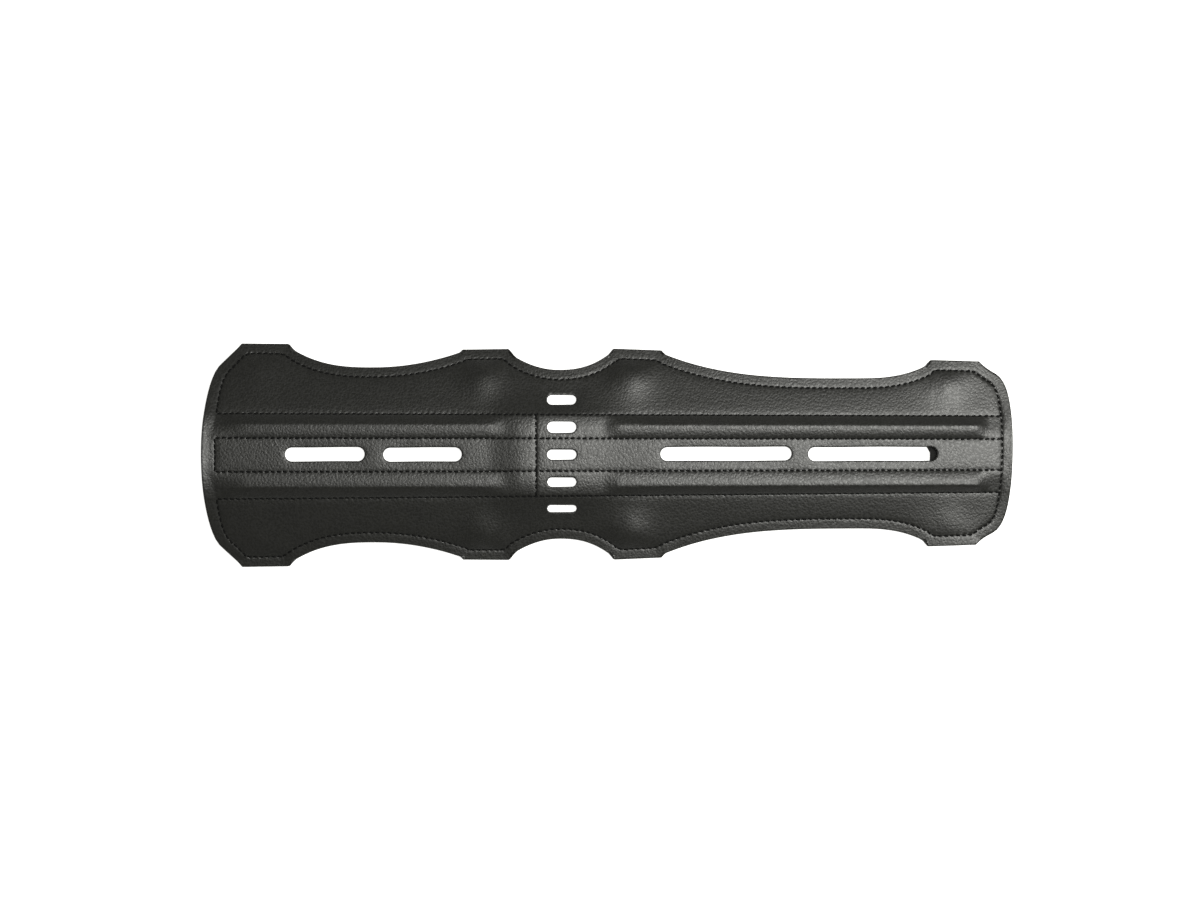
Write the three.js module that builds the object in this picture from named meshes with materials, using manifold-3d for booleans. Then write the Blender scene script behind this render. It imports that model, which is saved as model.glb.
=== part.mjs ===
// Archery arm guard lying face up on a table, in millimetres, +Z up.
// A padded leather face is sewn onto a thin backing. Its wings droop from a stiff middle strip,
// so the guard stands on its strap ears like a low bridge. +X runs from the upper arm to the wrist.
import * as THREE from "three";
import { mergeVertices } from "three/addons/utils/BufferGeometryUtils.js";
import Module from "manifold-3d";

const wasm = await Module();
wasm.setup();

// Driving dimensions of the layers
const FLANGE_THICKNESS = 1.5; // leather face outside the edge seam
const SEAM_DIP = 0.4; // how far a row of stitches pulls the face down
const STRIP_PUFF = 0.5; // crown of the middle strip between the inner seams
const WING_PUFF = 0.12; // height of a wing's padding as a share of the wing's width
const WING_FULLNESS = 0.75; // below 1 a wing rises steeply at its seams and is flat on top
const BACKING_THICKNESS = 1.0;
const LAYER_GAP = 0.3; // clearance between face and backing
const REST_FLAT = 0.3; // how much of each ear is pressed flat by the table

// Driving dimensions of the arch, seen along the arm
const RISE_AT_UPPER_ARM = 10; // height of the middle strip over the ears' edges, at the first ears
const RISE_AT_WRIST = 3; // the same at the last ears

// Driving dimensions of the seams
const FLANGE = 4.2; // from the edge to the edge seam
const INNER_SEAM = 6.7; // middle line to inner seam
const OUTER_SEAM_AT_UPPER_ARM = 18.0; // middle line to outer seam, at the first ears
const OUTER_SEAM_AT_WRIST = 16.4; // the same at the last ears
const CROSS_SEAM_X = -30.0; // the one row of stitches that runs across the strip
const CROSS_SEAM_HALF_WIDTH = 1.0;

// The four pairs of strap ears: each is a straight edge from start to end along X
const EARS = [
  { place: "upper arm", start: -153.7, end: -133.8, startHalf: 47.0, endHalf: 46.8 },
  { place: "above elbow", start: -60.9, end: -41.4, startHalf: 44.2, endHalf: 44.4 },
  { place: "below elbow", start: 2.5, end: 22.7, startHalf: 44.4, endHalf: 43.6 },
  { place: "wrist", start: 135.0, end: 155.4, startHalf: 39.2, endHalf: 38.6 },
];
const FIRST_EAR = EARS[0];
const LAST_EAR = EARS.at(-1);
const SHOULDER_SLOPE = 1.2; // how steeply the edge falls beside an ear
const SEAM_CORNER = 2.0; // how far inside an ear's corner the edge seam turns

// The hollow edges between the ears: each has a straight shoulder beside either ear, then a curve
// whose power says how late it rises from its narrowest place
const HOLLOWS = [
  { x: -97.7, half: 36.8, dropBefore: 2.7, powerBefore: 2.75, dropAfter: 1.2, powerAfter: 2.0, steps: 5 },
  { x: -20.3, half: 35.5, dropBefore: 3.5, powerBefore: 2.0, dropAfter: 2.6, powerAfter: 2.4, steps: 5 },
  { x: 105.0, half: 31.6, dropBefore: 1.7, powerBefore: 3.2, dropAfter: 2.7, powerAfter: 2.75, steps: 7 },
];

// The two ends, from the middle line out to the corner of the nearest ear
const END_STEPS = 24; // points along each end's edge
const END_BLENDS = [0.3, 0.65]; // lines between an end's seam and its first straight line across
const END_WING_SHARE = 0.88; // share of an end's slanted edge that belongs to the wing
const ENDS = {
  upperArm: {
    seamInset: 5.7,
    firstStation: -145.0,
    outward: -1,
    path: new THREE.Path()
      .moveTo(-170, 0)
      .bezierCurveTo(-170, 18.4, -167, 34.6, -162.3, 38.5)
      .lineTo(-155.2, 45.2)
      .lineTo(FIRST_EAR.start, FIRST_EAR.startHalf),
  },
  wrist: {
    seamInset: 3.8,
    firstStation: 147.0,
    outward: 1,
    path: new THREE.Path()
      .moveTo(170, 0)
      .bezierCurveTo(170, 25.9, 166.3, 31.8, 161.9, 33.9)
      .quadraticCurveTo(157.9, 35.8, LAST_EAR.end, LAST_EAR.endHalf),
  },
};

// Raised ribs between the inner and outer seams
const RIB_HEIGHT = 2.6;
const RIB_RAMP = 3.4; // length of the slope at each end of a rib
const RIB_SKEW = 0.88; // under 1 puts the crest nearer the inner seam
const RIBS = [
  { start: -163.0, end: -44.5 },
  { start: 0.5, end: 161.0 },
];

// Long ventilation slots along the middle line. The backing's last slot was cut short.
const LONG_SLOT_WIDTH = 6.3;
const LONG_SLOTS = [
  { start: -135.2, faceEnd: -101.6, backingEnd: -101.6 },
  { start: -94.1, faceEnd: -60.9, backingEnd: -60.9 },
  { start: 22.3, faceEnd: 77.7, backingEnd: 77.7 },
  { start: 84.0, faceEnd: 138.6, backingEnd: 135.0 },
];

// Short ventilation slots in a column over the elbow
const SHORT_SLOT = { start: -25.4, end: -12.7 };
const SHORT_SLOTS = [
  { y: 22.7, width: 4.4 },
  { y: 11.3, width: 5.1 },
  { y: -0.4, width: 4.6 },
  { y: -11.8, width: 4.2 },
  { y: -22.9, width: 3.4 },
];
const SLOT_END_STEPS = 4; // half the number of flats round a slot's end

// Lines along the guard, from the middle line outwards. `at` is a share of the zone's width.
const FACE_ROWS = zoneRows({
  strip: [0, 0.82],
  channel: [0, 0.2, 0.46, 0.68, 0.88],
  wing: [0, 0.06, 0.22, 0.5, 0.78, 0.94],
  flange: [0, 0.3, 1],
});
const BACKING_ROWS = zoneRows({
  strip: [0],
  channel: [0],
  wing: [0, 0.22, 0.5, 0.78, 0.94],
  flange: [0, 1],
});

const { lerp, smoothstep } = THREE.MathUtils;

function zoneRows(zones) {
  return Object.entries(zones).flatMap(([zone, shares]) => shares.map((at) => ({ zone, at })));
}

// Share of the way from the middle of the first ears to the middle of the last ears
function alongArm(x) {
  const first = (FIRST_EAR.start + FIRST_EAR.end) / 2;
  const last = (LAST_EAR.start + LAST_EAR.end) / 2;
  return (x - first) / (last - first);
}

// The two stretches of a hollow, each from its narrowest place to the foot of an ear's shoulder
function hollowSides(i) {
  const hollow = HOLLOWS[i];
  const [before, after] = [EARS[i], EARS[i + 1]];
  return {
    before: {
      footX: before.end + hollow.dropBefore / SHOULDER_SLOPE,
      footHalf: before.endHalf - hollow.dropBefore,
      power: hollow.powerBefore,
    },
    after: {
      footX: after.start - hollow.dropAfter / SHOULDER_SLOPE,
      footHalf: after.startHalf - hollow.dropAfter,
      power: hollow.powerAfter,
    },
  };
}

// Half the guard's width at x, with the first and last ears running on past the ends
function halfWidth(x) {
  const next = EARS.findIndex((ear) => x <= ear.end);
  const ear = next < 0 ? LAST_EAR : EARS[next];
  if (next <= 0 || x >= ear.start) {
    return lerp(ear.startHalf, ear.endHalf, (x - ear.start) / (ear.end - ear.start));
  }
  const hollow = HOLLOWS[next - 1];
  const sides = hollowSides(next - 1);
  if (x < sides.before.footX) return EARS[next - 1].endHalf - (x - EARS[next - 1].end) * SHOULDER_SLOPE;
  if (x > sides.after.footX) return ear.startHalf - (ear.start - x) * SHOULDER_SLOPE;
  const { footX, footHalf, power } = x < hollow.x ? sides.before : sides.after;
  const away = (x - hollow.x) / (footX - hollow.x);
  return hollow.half + (footHalf - hollow.half) * away ** power;
}

// The edge seam stays one flange away from every point of the edge
function edgeSeam(x) {
  const steps = 12;
  const limits = [];
  for (let k = -steps; k <= steps; k++) {
    const away = (FLANGE * k) / steps;
    limits.push(halfWidth(x + away) - Math.sqrt(FLANGE ** 2 - away ** 2));
  }
  return Math.min(...limits);
}

function outerSeam(x) {
  return lerp(OUTER_SEAM_AT_UPPER_ARM, OUTER_SEAM_AT_WRIST, alongArm(x));
}

// Half the distance between the ears' edges that carry the arch at x
function archSpan(x) {
  const feet = EARS.map((ear) => ({
    x: (ear.start + ear.end) / 2,
    half: (ear.startHalf + ear.endHalf) / 2,
  }));
  const next = feet.findIndex((foot, i) => i > 0 && x <= foot.x);
  const i = next < 0 ? feet.length - 1 : next;
  const [a, b] = [feet[i - 1], feet[i]];
  return lerp(a.half, b.half, (x - a.x) / (b.x - a.x));
}

// Underside of the face: a parabola across the arm, flatter towards the wrist
function archHeight(x, y) {
  const rise = lerp(RISE_AT_UPPER_ARM, RISE_AT_WRIST, alongArm(x));
  const foot = LAYER_GAP + BACKING_THICKNESS - REST_FLAT;
  return foot + rise * (1 - (y / archSpan(x)) ** 2);
}

function ribAlong(x) {
  const shares = RIBS.map(
    ({ start, end }) =>
      smoothstep(x, start, start + RIB_RAMP) * (1 - smoothstep(x, end - RIB_RAMP, end)),
  );
  return Math.max(...shares);
}

// Height of the face over its flange on one row
function padding({ zone, at }, x) {
  const inChannels = zone === "strip" || zone === "channel";
  if (inChannels && Math.abs(x - CROSS_SEAM_X) < CROSS_SEAM_HALF_WIDTH / 2) return -SEAM_DIP;
  if (zone === "strip") return STRIP_PUFF * (1 - at ** 2);
  if (at === 0) return -SEAM_DIP;
  if (zone === "channel") return RIB_HEIGHT * ribAlong(x) * Math.sin(Math.PI * at ** RIB_SKEW);
  if (zone === "wing") {
    const width = edgeSeam(x) - outerSeam(x);
    return WING_PUFF * width * Math.sin(Math.PI * at) ** WING_FULLNESS;
  }
  return 0;
}

// Distance of a row from the middle line, where limits are those of the seams and the edge
function rowDistance({ zone, at }, { outer, seam, edge }) {
  const [from, to] = {
    strip: [0, INNER_SEAM],
    channel: [INNER_SEAM, outer],
    wing: [outer, seam],
    flange: [seam, edge],
  }[zone];
  return lerp(from, to, at);
}

// A station is one line across the guard: for a row it gives the point and how full the padding is
function straightStation(x) {
  const limits = { outer: outerSeam(x), seam: edgeSeam(x), edge: halfWidth(x) };
  return (row) => ({ x, y: rowDistance(row, limits), full: 1 });
}

// The point of a line of points at distance y from the middle line
function pointAtDistance(points, y) {
  const i = Math.max(1, points.findIndex((point) => point.y >= y));
  const [a, b] = [points[i - 1], points[i]];
  return { x: lerp(a.x, b.x, (y - a.y) / (b.y - a.y)), y };
}

// The point of a line of points at a share of its way from distance y to its last point
function pointOnward(points, y, share) {
  const rest = [pointAtDistance(points, y), ...points.filter((point) => point.y > y)];
  const place = share * (rest.length - 1);
  const i = Math.min(rest.length - 2, Math.floor(place));
  const [a, b] = [rest[i], rest[i + 1]];
  return { x: lerp(a.x, b.x, place - i), y: lerp(a.y, b.y, place - i) };
}

// Along an end's edge the wing and the flange share the slanted stretch
function endEdgeStation(end) {
  const points = end.path.getSpacedPoints(END_STEPS);
  const outer = outerSeam(points[0].x);
  return (row) => {
    const { zone, at } = row;
    if (zone === "strip" || zone === "channel") {
      return { ...pointAtDistance(points, rowDistance(row, { outer })), full: 0 };
    }
    const share = zone === "wing" ? at * END_WING_SHARE : lerp(END_WING_SHARE, 1, at);
    return { ...pointOnward(points, outer, share), full: 0 };
  };
}

// The end seam keeps its distance from the end's edge, then turns at the ear
function endSeamStation(end) {
  const edge = end.path.getSpacedPoints(END_STEPS);
  const corner = edge.at(-1);
  const inset = edge.slice(0, -1).map((point, i) => {
    const run = new THREE.Vector2().subVectors(edge[i + 1], point).normalize();
    const distance = lerp(end.seamInset, FLANGE, i / END_STEPS);
    return { x: point.x - end.outward * run.y * distance, y: point.y - Math.abs(run.x) * distance };
  });
  const below = inset.filter(({ y }) => y < corner.y - FLANGE);
  const top = { x: corner.x - end.outward * SEAM_CORNER, y: corner.y - FLANGE };
  const line = [...below, top];
  const outer = outerSeam(top.x);
  return (row) => {
    const { zone, at } = row;
    if (zone === "strip" || zone === "channel") {
      return { ...pointAtDistance(line, rowDistance(row, { outer })), full: 0 };
    }
    if (zone === "wing") return { ...pointOnward(line, outer, at), full: 0 };
    return { x: top.x, y: lerp(top.y, corner.y, at), full: 0 };
  };
}

function blendStations(from, to, share) {
  return (row) => {
    const [a, b] = [from(row), to(row)];
    return { x: lerp(a.x, b.x, share), y: lerp(a.y, b.y, share), full: lerp(a.full, b.full, share) };
  };
}

function endStations(end) {
  const [edge, seam] = [endEdgeStation(end), endSeamStation(end)];
  const first = straightStation(end.firstStation);
  return [edge, seam, ...END_BLENDS.map((share) => blendStations(seam, first, share))];
}

// All stations from the upper-arm end to the wrist end
function allStations() {
  const xs = [ENDS.upperArm.firstStation, ENDS.wrist.firstStation];
  HOLLOWS.forEach(({ steps }, i) => {
    const [before, after] = [EARS[i], EARS[i + 1]];
    const { before: left, after: right } = hollowSides(i);
    xs.push(before.end - SEAM_CORNER, before.end, after.start, after.start + SEAM_CORNER);
    for (let k = 0; k <= steps; k++) xs.push(lerp(left.footX, right.footX, k / steps));
  });
  for (const side of [-1, 0, 1]) xs.push(CROSS_SEAM_X + side * CROSS_SEAM_HALF_WIDTH);
  const [upperRib, lowerRib] = RIBS;
  xs.push(upperRib.end - RIB_RAMP, upperRib.end, lowerRib.start, lowerRib.start + RIB_RAMP);
  const straight = xs.sort((a, b) => a - b).map(straightStation);
  return [...endStations(ENDS.upperArm), ...straight, ...endStations(ENDS.wrist).reverse()];
}

const STATIONS = allStations();

// Rows from one edge across the middle line to the other edge
function mirroredRows(rows) {
  const far = rows.slice(1).reverse();
  return [...far.map((row) => ({ ...row, side: -1 })), ...rows.map((row) => ({ ...row, side: 1 }))];
}

// A closed sheet over all stations and rows, between a lower and an upper surface
function sheet(rows, lower, upper) {
  const lines = mirroredRows(rows);
  const across = lines.length;
  const along = STATIONS.length;
  const positions = [];
  for (const surface of [lower, upper]) {
    for (const station of STATIONS) {
      for (const row of lines) {
        const { x, y, full } = station(row);
        positions.push(x, row.side * y, surface(x, y, row, full));
      }
    }
  }
  const low = (i, k) => i * across + k;
  const high = (i, k) => (along + i) * across + k;
  const faces = [];
  const quad = (a, b, c, d) => faces.push(a, b, c, a, c, d);
  const [lastStation, lastRow] = [along - 1, across - 1];
  for (let i = 0; i < lastStation; i++) {
    for (let k = 0; k < lastRow; k++) {
      quad(high(i, k), high(i + 1, k), high(i + 1, k + 1), high(i, k + 1));
      quad(low(i, k), low(i, k + 1), low(i + 1, k + 1), low(i + 1, k));
    }
    quad(low(i, 0), low(i + 1, 0), high(i + 1, 0), high(i, 0));
    quad(low(i + 1, lastRow), low(i, lastRow), high(i, lastRow), high(i + 1, lastRow));
  }
  for (let k = 0; k < lastRow; k++) {
    quad(low(0, k + 1), low(0, k), high(0, k), high(0, k + 1));
    quad(low(lastStation, k), low(lastStation, k + 1), high(lastStation, k + 1), high(lastStation, k));
  }
  const geometry = new THREE.BufferGeometry();
  geometry.setAttribute("position", new THREE.Float32BufferAttribute(positions, 3));
  geometry.setIndex(faces);
  return geometry;
}

// Upright cutter with round ends, from start to end along X
function slotCutter({ start, end, y, width }) {
  const radius = width / 2;
  const outline = new THREE.Shape()
    .absarc(end - radius, y, radius, -Math.PI / 2, Math.PI / 2)
    .absarc(start + radius, y, radius, Math.PI / 2, (3 * Math.PI) / 2);
  const depth = 60;
  const settings = { depth, bevelEnabled: false, curveSegments: SLOT_END_STEPS };
  return new THREE.ExtrudeGeometry(outline, settings).translate(0, 0, -depth / 2);
}

function toSolid(geometry) {
  const bare = geometry.clone();
  bare.deleteAttribute("normal");
  bare.deleteAttribute("uv");
  const merged = mergeVertices(bare, 1e-4);
  const mesh = new wasm.Mesh({
    numProp: 3,
    vertProperties: merged.attributes.position.array,
    triVerts: new Uint32Array(merged.index.array),
  });
  return new wasm.Manifold(mesh);
}

function toGeometry(solid) {
  const { vertProperties, triVerts } = solid.getMesh();
  const geometry = new THREE.BufferGeometry();
  geometry.setAttribute("position", new THREE.BufferAttribute(vertProperties, 3));
  geometry.setIndex(new THREE.BufferAttribute(triVerts, 1));
  return geometry.toNonIndexed();
}

// Cuts every slot through a layer, whose long slots end where the named column says
function cutSlots(solid, endColumn) {
  const long = LONG_SLOTS.map((slot) => ({
    start: slot.start,
    end: slot[endColumn],
    y: 0,
    width: LONG_SLOT_WIDTH,
  }));
  const short = SHORT_SLOTS.map((slot) => ({ ...SHORT_SLOT, ...slot }));
  return [...long, ...short].reduce((cut, slot) => cut.subtract(toSolid(slotCutter(slot))), solid);
}

function makeFace() {
  const upper = (x, y, row, full) => archHeight(x, y) + FLANGE_THICKNESS + padding(row, x) * full;
  const solid = cutSlots(toSolid(sheet(FACE_ROWS, archHeight, upper)), "faceEnd");
  const leather = new THREE.MeshStandardMaterial({ color: 0x2c2c2a, roughness: 0.5, metalness: 0 });
  const mesh = new THREE.Mesh(toGeometry(solid), leather);
  mesh.name = "face";
  return mesh;
}

// The backing follows the face, and the table presses its lowest strips flat
function makeBacking() {
  const upper = (x, y) => archHeight(x, y) - LAYER_GAP;
  const lower = (x, y) => upper(x, y) - BACKING_THICKNESS;
  const solid = cutSlots(toSolid(sheet(BACKING_ROWS, lower, upper)), "backingEnd");
  const [length, width, height] = [400, 120, 60];
  const overTable = new THREE.BoxGeometry(length, width, height).translate(0, 0, height / 2);
  const cloth = new THREE.MeshStandardMaterial({ color: 0x191918, roughness: 0.95, metalness: 0 });
  const mesh = new THREE.Mesh(toGeometry(solid.intersect(toSolid(overTable))), cloth);
  mesh.name = "backing";
  return mesh;
}

const armGuard = new THREE.Group();
armGuard.add(makeFace(), makeBacking());

export default armGuard;
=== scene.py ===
import math

import bmesh
import bpy
from mathutils import Matrix, Vector
from mathutils.bvhtree import BVHTree
from mathutils.kdtree import KDTree


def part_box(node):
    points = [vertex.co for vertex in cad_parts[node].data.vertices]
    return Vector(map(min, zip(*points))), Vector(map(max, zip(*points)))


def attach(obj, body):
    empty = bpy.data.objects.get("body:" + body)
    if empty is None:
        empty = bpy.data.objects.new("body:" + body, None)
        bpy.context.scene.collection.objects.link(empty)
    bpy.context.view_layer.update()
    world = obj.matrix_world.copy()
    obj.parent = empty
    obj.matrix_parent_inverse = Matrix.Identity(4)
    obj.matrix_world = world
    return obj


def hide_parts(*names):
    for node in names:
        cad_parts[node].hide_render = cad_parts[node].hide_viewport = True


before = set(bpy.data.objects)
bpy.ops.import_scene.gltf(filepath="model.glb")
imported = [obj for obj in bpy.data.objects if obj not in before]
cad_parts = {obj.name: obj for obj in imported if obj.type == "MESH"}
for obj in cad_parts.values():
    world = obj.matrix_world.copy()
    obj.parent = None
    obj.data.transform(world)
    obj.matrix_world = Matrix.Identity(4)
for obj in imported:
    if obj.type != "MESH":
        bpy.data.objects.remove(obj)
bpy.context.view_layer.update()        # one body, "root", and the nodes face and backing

mm = 0.001               # sizes below are in millimetres, meshes are in metres

# Plan of the guard, on the outline of its solids. +X runs from the upper arm to the wrist.
plan = {
    "ears": [            # straight edges that carry the straps
        {"start": -153.7, "end": -133.8, "startHalf": 47.0, "endHalf": 46.8},
        {"start": -60.9, "end": -41.4, "startHalf": 44.2, "endHalf": 44.4},
        {"start": 2.5, "end": 22.7, "startHalf": 44.4, "endHalf": 43.6},
        {"start": 135.0, "end": 155.4, "startHalf": 39.2, "endHalf": 38.6},
    ],
    "hollows": [         # curved edges between the ears, each with a straight shoulder at both ends
        {"x": -97.7, "half": 36.8, "dropLeft": 2.7, "powerLeft": 2.75, "dropRight": 1.2, "powerRight": 2.0},
        {"x": -20.3, "half": 35.5, "dropLeft": 3.5, "powerLeft": 2.0, "dropRight": 2.6, "powerRight": 2.4},
        {"x": 105.0, "half": 31.6, "dropLeft": 1.7, "powerLeft": 3.2, "dropRight": 2.7, "powerRight": 2.75},
    ],
    "shoulderSlope": 1.2,
    "flange": 4.2,       # from the edge to the edge seam
    "seamCorner": 2.0,   # how far inside an ear's corner the edge seam turns
    # pairs are at the first ears and at the last ears
    "innerSeam": (7.1, 6.55), "outerSeam": (18.25, 16.55),   # from the middle line
    "upperSeamShift": (-0.85, -0.95),    # the upper outer seam was sewn this much nearer the middle
    "stripShift": (0.1, -0.6),           # the middle strip was sewn a little askew
    "rise": (10.4, 4.65),                # height of the arch
    "bendPower": 4,                      # how late the level middle bends down to the wings
    "wristFlat": (0.25, 150.0, 172.0),   # the arch loses this share of its height along the wrist end
    "wristSlant": 0.00013,               # the wrist end was cut a little askew, per mm along and across
    "crossSeam": -30.0,
    "foot": 1.0,                         # underside of the face at the ears' edges
    "panelLift": 0.8,                    # the padded middle panel stands over the wings
    "padEnd": 0.6,                       # share of an end's flange over which the padding runs out
    "padRise": 0.75,                     # how fast the wings' padding rises from an end seam, less is faster
    "upperArmEnd": {
        "seamInset": 5.7, "firstLine": -145.0, "outward": -1,
        "edge": [
            [(-170.0, 0.0), (-170.0, 18.4), (-167.0, 34.6), (-162.3, 38.5)],
            [(-162.3, 38.5), (-155.2, 45.2)],
            [(-155.2, 45.2), (-153.7, 47.0)],
        ],
    },
    "wristEnd": {
        "seamInset": 4.5, "firstLine": 147.0, "outward": 1,
        "edge": [
            [(170.0, 0.0), (170.0, 25.9), (166.3, 31.8), (161.9, 33.9)],
            [(161.9, 33.9), (157.9, 35.8), (155.4, 38.6)],
        ],
    },
    "longSlotWidth": 5.8,
    "slotWaver": 0.07, "slotWave": 37.0, "slotPhase": 1.1,   # the slots are cut by hand: their sides waver
    "longSlots": [       # along the middle line; the backing's last one was cut short
        {"start": -135.1, "end": -101.7, "y": 0.3},
        {"start": -94.0, "end": -61.1, "y": 0.1},
        {"start": 22.1, "end": 77.1, "y": 0.0},
        {"start": 84.0, "end": 138.3, "y": -0.2, "backingEnd": 135.0},
    ],
    "shortSlotStart": -25.4, "shortSlotEnd": -13.1,
    "shortSlots": [      # one row across the guard
        {"y": 22.9, "width": 4.0},
        {"y": 11.4, "width": 4.75},
        {"y": -0.1, "width": 4.2},
        {"y": -11.6, "width": 3.85},
        {"y": -22.7, "width": 2.9},
    ],
}


def mix(a, b, share):
    return a + (b - a) * share


def clamp(value, low=0.0, high=1.0):
    return max(low, min(high, value))


def ease(x, low, high):
    share = clamp((x - low) / (high - low))
    return share * share * (3 - 2 * share)


def earMiddle(ear):
    return (ear["start"] + ear["end"]) / 2


def alongArm(x):         # 0 at the middle of the first ears, 1 at the middle of the last ears
    start, end = earMiddle(plan["ears"][0]), earMiddle(plan["ears"][-1])
    return (x - start) / (end - start)


def innerSeam(x):
    return mix(*plan["innerSeam"], alongArm(x))


def outerSeam(x):
    return mix(*plan["outerSeam"], alongArm(x))


def halfWidth(x):        # from the middle line to the edge
    ears = plan["ears"]
    following = [i for i, ear in enumerate(ears) if x <= ear["end"]]
    i = following[0] if following else len(ears) - 1
    ear = ears[i]
    if i == 0 or not following or x >= ear["start"]:
        return mix(ear["startHalf"], ear["endHalf"], (x - ear["start"]) / (ear["end"] - ear["start"]))
    last, hollow, slope = ears[i - 1], plan["hollows"][i - 1], plan["shoulderSlope"]
    leftFoot = last["end"] + hollow["dropLeft"] / slope
    rightFoot = ear["start"] - hollow["dropRight"] / slope
    if x < leftFoot:
        return last["endHalf"] - (x - last["end"]) * slope
    if x > rightFoot:
        return ear["startHalf"] - (ear["start"] - x) * slope
    if x < hollow["x"]:
        away = (x - hollow["x"]) / (leftFoot - hollow["x"])
        return mix(hollow["half"], last["endHalf"] - hollow["dropLeft"], away ** hollow["powerLeft"])
    away = (x - hollow["x"]) / (rightFoot - hollow["x"])
    return mix(hollow["half"], ear["startHalf"] - hollow["dropRight"], away ** hollow["powerRight"])


def edgeSeam(x):         # one flange away from every point of the edge
    flange, steps = plan["flange"], 16
    aways = [flange * k / steps for k in range(-steps, steps + 1)]
    return min(halfWidth(x + away) - math.sqrt(flange ** 2 - away ** 2) for away in aways)


def wingWidth(x, least=1.0):     # from the outer seam to the edge seam
    return max(least, edgeSeam(x) - outerSeam(x))


def archSpan(x):         # from the middle line to where the arch would meet the table
    feet = [(earMiddle(ear), (ear["startHalf"] + ear["endHalf"]) / 2) for ear in plan["ears"]]
    i = next((i for i in range(1, len(feet)) if x <= feet[i][0]), len(feet) - 1)
    (ax, aHalf), (bx, bHalf) = feet[i - 1], feet[i]
    return mix(aHalf, bHalf, (x - ax) / (bx - ax))


def archHeight(x, y):    # underside of the face: a level middle, then wings that droop straight to the ears
    flat, start, end = plan["wristFlat"]
    rise = mix(*plan["rise"], alongArm(x)) * (1 - flat * ease(x, start, end))
    bend, power = outerSeam(x), plan["bendPower"]
    slope = rise / (archSpan(x) - (1 - 1 / power) * bend)
    beyond = max(0.0, abs(y) - bend)
    within = min(1.0, abs(y) / bend)
    return plan["foot"] + rise - slope * (bend / power * within ** power + beyond)


# Where the edges lie flatter than the arch: between the ears, at the ears and at the two ends.
# Values by side are for the upper edge (1) and the lower edge (-1), those by end for the wrist (1)
# and the upper arm (-1).

lifted = {
    "brimSlope": {1: (0.045, 0.075), -1: (0.075, 0.06)},     # by side, at the first and at the last ears
    "earSlope": {1: (0.06, 0.015, 0.035, 0.04), -1: (0.14, 0.12, 0.125, 0.125)},     # by side, at each ear
    "earFree": (10.0, 18.0),             # from an ear's middle, where its slope gives way to the brim's
    "earRaise": 1.1, "earRaiseReach": 14.0,      # the last ears stand off the table
    "endLift": {-1: (0.8, 20.0), 1: (0.82, 14.0)},   # by end, height and width of its flange over the arch
    "endCurl": {-1: 0.68, 1: 0.42}, "endCurlPower": {-1: 2.0, 1: 1.3}, "endCurlWidth": 25.0,
    "cornerCurl": 0.2, "corner": (156.0, -37.0), "cornerReach": 11.0,    # one corner is curled up
}


def edgeLift(row, x, y, rim):    # rim is 1 on the end's edge and 0 on the end seam
    side, end = (1 if y > 0 else -1), (1 if x > 0 else -1)
    brim = mix(*lifted["brimSlope"][side], alongArm(x))
    for ear, slope in zip(plan["ears"], lifted["earSlope"][side]):
        brim = mix(slope, brim, ease(abs(x - earMiddle(ear)), *lifted["earFree"]))
    lift = brim * outside(row)
    across = {"flange": 1.0, "wing": zoneShare(row, wingWidth(x))}.get(row[0], 0.0)
    toEar = (x - earMiddle(plan["ears"][-1])) / lifted["earRaiseReach"]
    lift += lifted["earRaise"] * across ** 2 * math.exp(-toEar ** 2)
    height, width = lifted["endLift"][end]
    if row[0] != "flange":
        lift += height * math.exp(-(y / width) ** 2) * ease(rim, 0, plan["padEnd"])
    curl = lifted["endCurl"][end] * rim ** lifted["endCurlPower"][end]
    lift += curl * math.exp(-(y / lifted["endCurlWidth"]) ** 2)
    toCorner = math.hypot(x - lifted["corner"][0], y - lifted["corner"][1]) / lifted["cornerReach"]
    return lift + lifted["cornerCurl"] * math.exp(-toCorner ** 2)


# Lines of points, by their length

def curvePoints(controls, steps=24):     # a line, quadratic or cubic curve by its control points
    points = []
    for k in range(steps + 1):
        level = [Vector(p) for p in controls]
        while len(level) > 1:
            level = [a.lerp(b, k / steps) for a, b in zip(level, level[1:])]
        points.append(level[0])
    return points


def lengths(points):
    total = [0.0]
    for a, b in zip(points, points[1:]):
        total.append(total[-1] + (b - a).length)
    return total


def pointsAt(points, distances):         # distances rise
    total, i, found = lengths(points), 1, []
    for distance in distances:
        while total[i] < distance and i < len(points) - 1:
            i += 1
        span = total[i] - total[i - 1]
        found.append(points[i - 1].lerp(points[i], (distance - total[i - 1]) / span if span else 0.0))
    return found


def evenPoints(points, spacing):
    whole = lengths(points)[-1]
    count = max(1, round(whole / spacing))
    return pointsAt(points, [whole * k / count for k in range(count + 1)])


def pointAtY(points, y):
    i = next((i for i in range(1, len(points)) if points[i].y >= y), len(points) - 1)
    a, b = points[i - 1], points[i]
    return a.lerp(b, (y - a.y) / (b.y - a.y))


def fromY(points, y):    # the part of a line beyond y
    return [pointAtY(points, y)] + [p for p in points if p.y > y]


# Lines across the guard. A row is (zone, base, share): it lies base + share x width into its zone.

def zoneShare(row, width):
    return clamp(row[2] + row[1] / width)


def straightLine(x):
    inner, outer, seam, edge = innerSeam(x), outerSeam(x), edgeSeam(x), halfWidth(x)
    limits = {"strip": (0, inner), "channel": (inner, outer), "wing": (outer, seam), "flange": (seam, edge)}

    def place(row):
        low, high = limits[row[0]]
        return Vector((x, mix(low, high, zoneShare(row, high - low))))
    return place


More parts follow.
